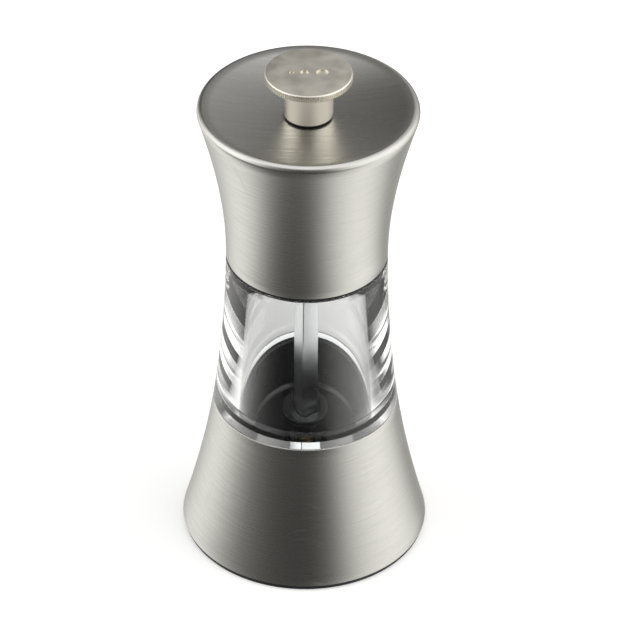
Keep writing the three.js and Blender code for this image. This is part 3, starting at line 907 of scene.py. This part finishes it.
class MILL_OT_carrier(bpy.types.Operator):
    """Turns the black carrier and cuts its window and feed openings"""

    bl_idname = "mill.carrier"
    bl_label = "Carrier"

    def execute(self, context):
        inside = context.scene.mill_mechanism
        low, high = box_of("carrier")
        hopper = context.scene.mill_hopper
        outer = hopper.bore - inside.clearance
        inner = outer - RING_WALL
        guide = hopper.bore + hopper.skirt + inside.clearance
        guide_out = guide + HUB_WALL
        flange = low.z + FLANGE
        guide_top = flange + GUIDE_HEIGHT
        floor = high.z - RING_DEPTH
        under = floor - FLOOR_SHEET
        bore = (inside.shaft + 2 * inside.clearance) / math.sqrt(2) + COLLAR_WALL + inside.clearance
        hub = bore + HUB_WALL
        hub_top = high_z("drive_collar") - HUB_DROP
        feed = radius_of("stator_burr") + inside.clearance
        outline = [(bore, under), (inner, under), (inner, low.z), (high.x, low.z), (high.x, flange),
                   (guide_out, flange), (guide_out, guide_top), (guide, guide_top), (guide, flange),
                   (outer, flange), (outer, high.z), (inner, high.z), (inner, floor + MM),
                   (inner - MM, floor), (hub, floor), (hub, hub_top), (bore, hub_top)]
        piece = object_from(turned(outline, TURN_STEPS, 0.3 * MM), "mill_carrier")
        holes = []
        for centre in screw_centres():
            hole = rod(SCREW_HOLE, low.z - MM, flange + MM, 32)
            bmesh.ops.translate(hole, verts=hole.verts[:], vec=(centre.x, centre.y, 0))
            holes.append(hole)
        boolean(piece, "DIFFERENCE", [
            wedge(FRONT, RING_WINDOW, hub + HUB_WALL, outer + MM, flange, high.z + MM),
            wedge(FRONT, HUB_WINDOW, bore - HUB_WALL, hub + HUB_WALL, under - MM, low_z("drive_collar")),
            wedge(FRONT, FRONT_FEED, hub, feed, under - MM, floor + 1.5 * MM),
            wedge(BACK, BACK_FEED, hub, feed, under - MM, floor + MM),
        ] + holes)
        finish_piece(piece, [material("black_plastic")], "housing", ["carrier"])
        return {"FINISHED"}


def screw_centres():
    """The middles of the three housing screws."""
    centres = []
    for number in (1, 2, 3):
        low, high = box_of(f"housing_screw_{number}")
        centres.append((low + high) / 2)
    return centres


class MILL_OT_frame_finish(bpy.types.Operator):
    """Gives the frame's own inner pieces their finish"""

    bl_idname = "mill.frame_finish"
    bl_label = "Inner frame finish"

    def execute(self, context):
        finishes = {
            "base_insert": "black_plastic", "burr_housing": "black_plastic", "stator_burr": "ceramic",
            "rotor_burr": "ceramic", "rotor_core": "black_plastic", "rotor_washer": "zinc_steel",
            "rotor_nut": "zinc_steel", "housing_screw_1": "zinc_steel", "housing_screw_2": "zinc_steel",
            "housing_screw_3": "zinc_steel", "crown_liner": "black_plastic", "drive_bush": "zinc_steel",
        }
        for node, finish in finishes.items():
            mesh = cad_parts[node].data
            mesh.materials.clear()
            mesh.materials.append(material(finish))
        return {"FINISHED"}


# ---------------------------------------------------------------- stage


# The room's light by heading in degrees, where 0 is the front and 90 is the right: just below the horizon,
# steeply below it, and above it.
LEVEL_PANELS = ((-180, 0.2), (-165, 0.2), (-138, 1.1), (-108, 1.25), (-90, 0.85), (-66, 0.32), (-40, 0.12),
                (-5, 0.06), (14, 0.07), (30, 0.24), (46, 0.85), (75, 1.35), (105, 1.35), (128, 0.95),
                (150, 0.2), (180, 0.2))
STEEP_PANELS = ((-180, 0.9), (-150, 0.7), (-115, 1.3), (-86, 1.05), (-68, 0.5), (-46, 0.16), (-15, 0.11),
                (4, 0.13), (20, 0.35), (42, 0.9), (70, 1.3), (95, 1.3), (115, 0.85), (135, 0.3), (160, 0.8),
                (180, 0.9))
ROOM_WALLS = ((-180, 0.2), (-160, 0.08), (-140, 0.16), (-112, 1.5), (-62, 1.6), (-38, 0.3), (-5, 0.06),
              (22, 0.15), (44, 1.4), (75, 1.6), (112, 1.5), (140, 0.75), (160, 0.5), (180, 0.2))
# A colour ramp holds nothing above 1, so it holds shares of this brightness.
BRIGHTEST = 1.7


class MILL_OT_stage(bpy.types.Operator):
    """Lays the floor, sets the soft light and places the camera"""

    bl_idname = "mill.stage"
    bl_label = "Stage"

    def execute(self, context):
        stage = context.scene.mill_stage
        self.lay_floor(stage)
        self.light_world(context.scene)
        self.place_camera(context.scene, stage)
        return {"FINISHED"}

    def lay_floor(self, stage):
        bm = bmesh.new()
        bmesh.ops.create_grid(bm, x_segments=1, y_segments=1, size=stage.floor / 2)
        floor = object_from(bm, "floor")
        glow = {"Emission Color": (1.0, 1.0, 1.0, 1.0), "Emission Strength": 0.3}
        made, w, shader, place = start_material("floor_paper", Roughness=0.9, **glow)
        grain = use_group(w, "fine_grain", Vector=place, Scale=40.0)
        shade = tone(w, stage.floor_colour, grain["Cloud"], 0.995, 1.005)
        w.tree.links.new(shade, shader.inputs["Base Color"])
        floor.data.materials.append(made)
        # Steel and acrylic see the panels below the horizon in place of the paper.
        floor.visible_glossy = False
        floor.visible_transmission = False

    def light_world(self, scene):
        """A studio of bright and dark upright panels, one ring above the horizon and two below it."""
        world = bpy.data.worlds.new("studio")
        scene.world = world
        world.use_nodes = True
        world.node_tree.nodes.clear()
        w = Wiring(world.node_tree)
        direction = w.add("ShaderNodeTexCoord").outputs["Generated"]
        xyz = w.add("ShaderNodeSeparateXYZ", {0: direction}).outputs
        heading = w.math("ARCTAN2", xyz[0], w.math("MULTIPLY", xyz[1], -1.0))
        heading = w.remap(heading, -math.pi, math.pi, 0.0, 1.0)
        level = self.panels(w, heading, LEVEL_PANELS)
        steep = self.panels(w, heading, STEEP_PANELS)
        below = w.blend(w.remap(xyz[2], -0.25, -0.8, 0.0, 1.0), level, steep)
        wall = self.panels(w, heading, ROOM_WALLS)
        sky = w.blend(w.remap(xyz[2], 0.72, 0.92, 0.0, 1.0), wall, (0.7, 0.7, 0.7, 1.0))
        whole = w.blend(w.remap(xyz[2], -0.02, 0.02, 0.0, 1.0), below, sky)
        background = w.add("ShaderNodeBackground", {"Color": whole, "Strength": BRIGHTEST})
        output = w.add("ShaderNodeOutputWorld")
        world.node_tree.links.new(background.outputs[0], output.inputs["Surface"])
        scene.view_settings.view_transform = "Standard"
        # Light turns many times inside the thick clear wall before it leaves.
        scene.cycles.max_bounces = 24
        scene.cycles.glossy_bounces = 24
        scene.cycles.transmission_bounces = 24

    def panels(self, w, heading, stops):
        """A ring of light whose brightness changes with the heading, in degrees from the front."""
        ramp = w.add("ShaderNodeValToRGB", {0: heading})
        ramp.color_ramp.interpolation = "CARDINAL"
        elements = ramp.color_ramp.elements
        for angle, value in stops[1:-1]:
            elements.new((angle + 180) / 360)
        for element, (angle, brightness) in zip(elements, stops):
            value = brightness / BRIGHTEST
            element.position = (angle + 180) / 360
            element.color = (value, value * 0.995, value * 0.965, 1.0)
        return ramp.outputs["Color"]

    def place_camera(self, scene, stage):
        camera = bpy.data.cameras.new("camera")
        camera.lens = stage.lens
        camera.sensor_width = 36.0
        camera.clip_start, camera.clip_end = 0.01, 20.0
        holder = bpy.data.objects.new("camera", camera)
        scene.collection.objects.link(holder)
        forward = Vector((math.sin(stage.yaw) * math.cos(stage.pitch),
                          math.cos(stage.yaw) * math.cos(stage.pitch), -math.sin(stage.pitch)))
        level = Vector((math.cos(stage.yaw), -math.sin(stage.yaw), 0.0))
        above = level.cross(forward)
        right = level * math.cos(stage.roll) + above * math.sin(stage.roll)
        up = above * math.cos(stage.roll) - level * math.sin(stage.roll)
        turn = Matrix((right, up, -forward)).transposed().to_4x4()
        holder.matrix_world = Matrix.Translation((0.0, -stage.distance, stage.height)) @ turn
        scene.camera = holder


# ---------------------------------------------------------------- panel and registration

OPERATORS = (
    MILL_OT_stage,
    MILL_OT_base_skin,
    MILL_OT_crown_skin,
    MILL_OT_hopper,
    MILL_OT_trim,
    MILL_OT_knob,
    MILL_OT_shaft,
    MILL_OT_collar,
    MILL_OT_spring,
    MILL_OT_carrier,
    MILL_OT_frame_finish,
)


class MILL_PT_pieces(bpy.types.Panel):
    """Lists the mill's settings and the operators that build its pieces"""

    bl_label = "Pepper Mill"
    bl_idname = "MILL_PT_pieces"
    bl_space_type = "VIEW_3D"
    bl_region_type = "UI"
    bl_category = "Pepper Mill"

    def draw(self, context):
        for operator in OPERATORS:
            self.layout.operator(operator.bl_idname)
        for setting, group in SETTINGS.items():
            area = self.layout.box()
            values = getattr(context.scene, setting)
            for name in group.__annotations__:
                area.prop(values, name)


CLASSES = (*SETTINGS.values(), *OPERATORS, MILL_PT_pieces)


def register():
    for cls in CLASSES:
        bpy.utils.register_class(cls)
    for setting, group in SETTINGS.items():
        setattr(bpy.types.Scene, setting, PointerProperty(type=group))


def unregister():
    for setting in SETTINGS:
        delattr(bpy.types.Scene, setting)
    for cls in reversed(CLASSES):
        bpy.utils.unregister_class(cls)


def main():
    register()
    for operator in OPERATORS:
        group, name = operator.bl_idname.split(".")
        getattr(getattr(bpy.ops, group), name)()


if __name__ == "__main__":
    main()
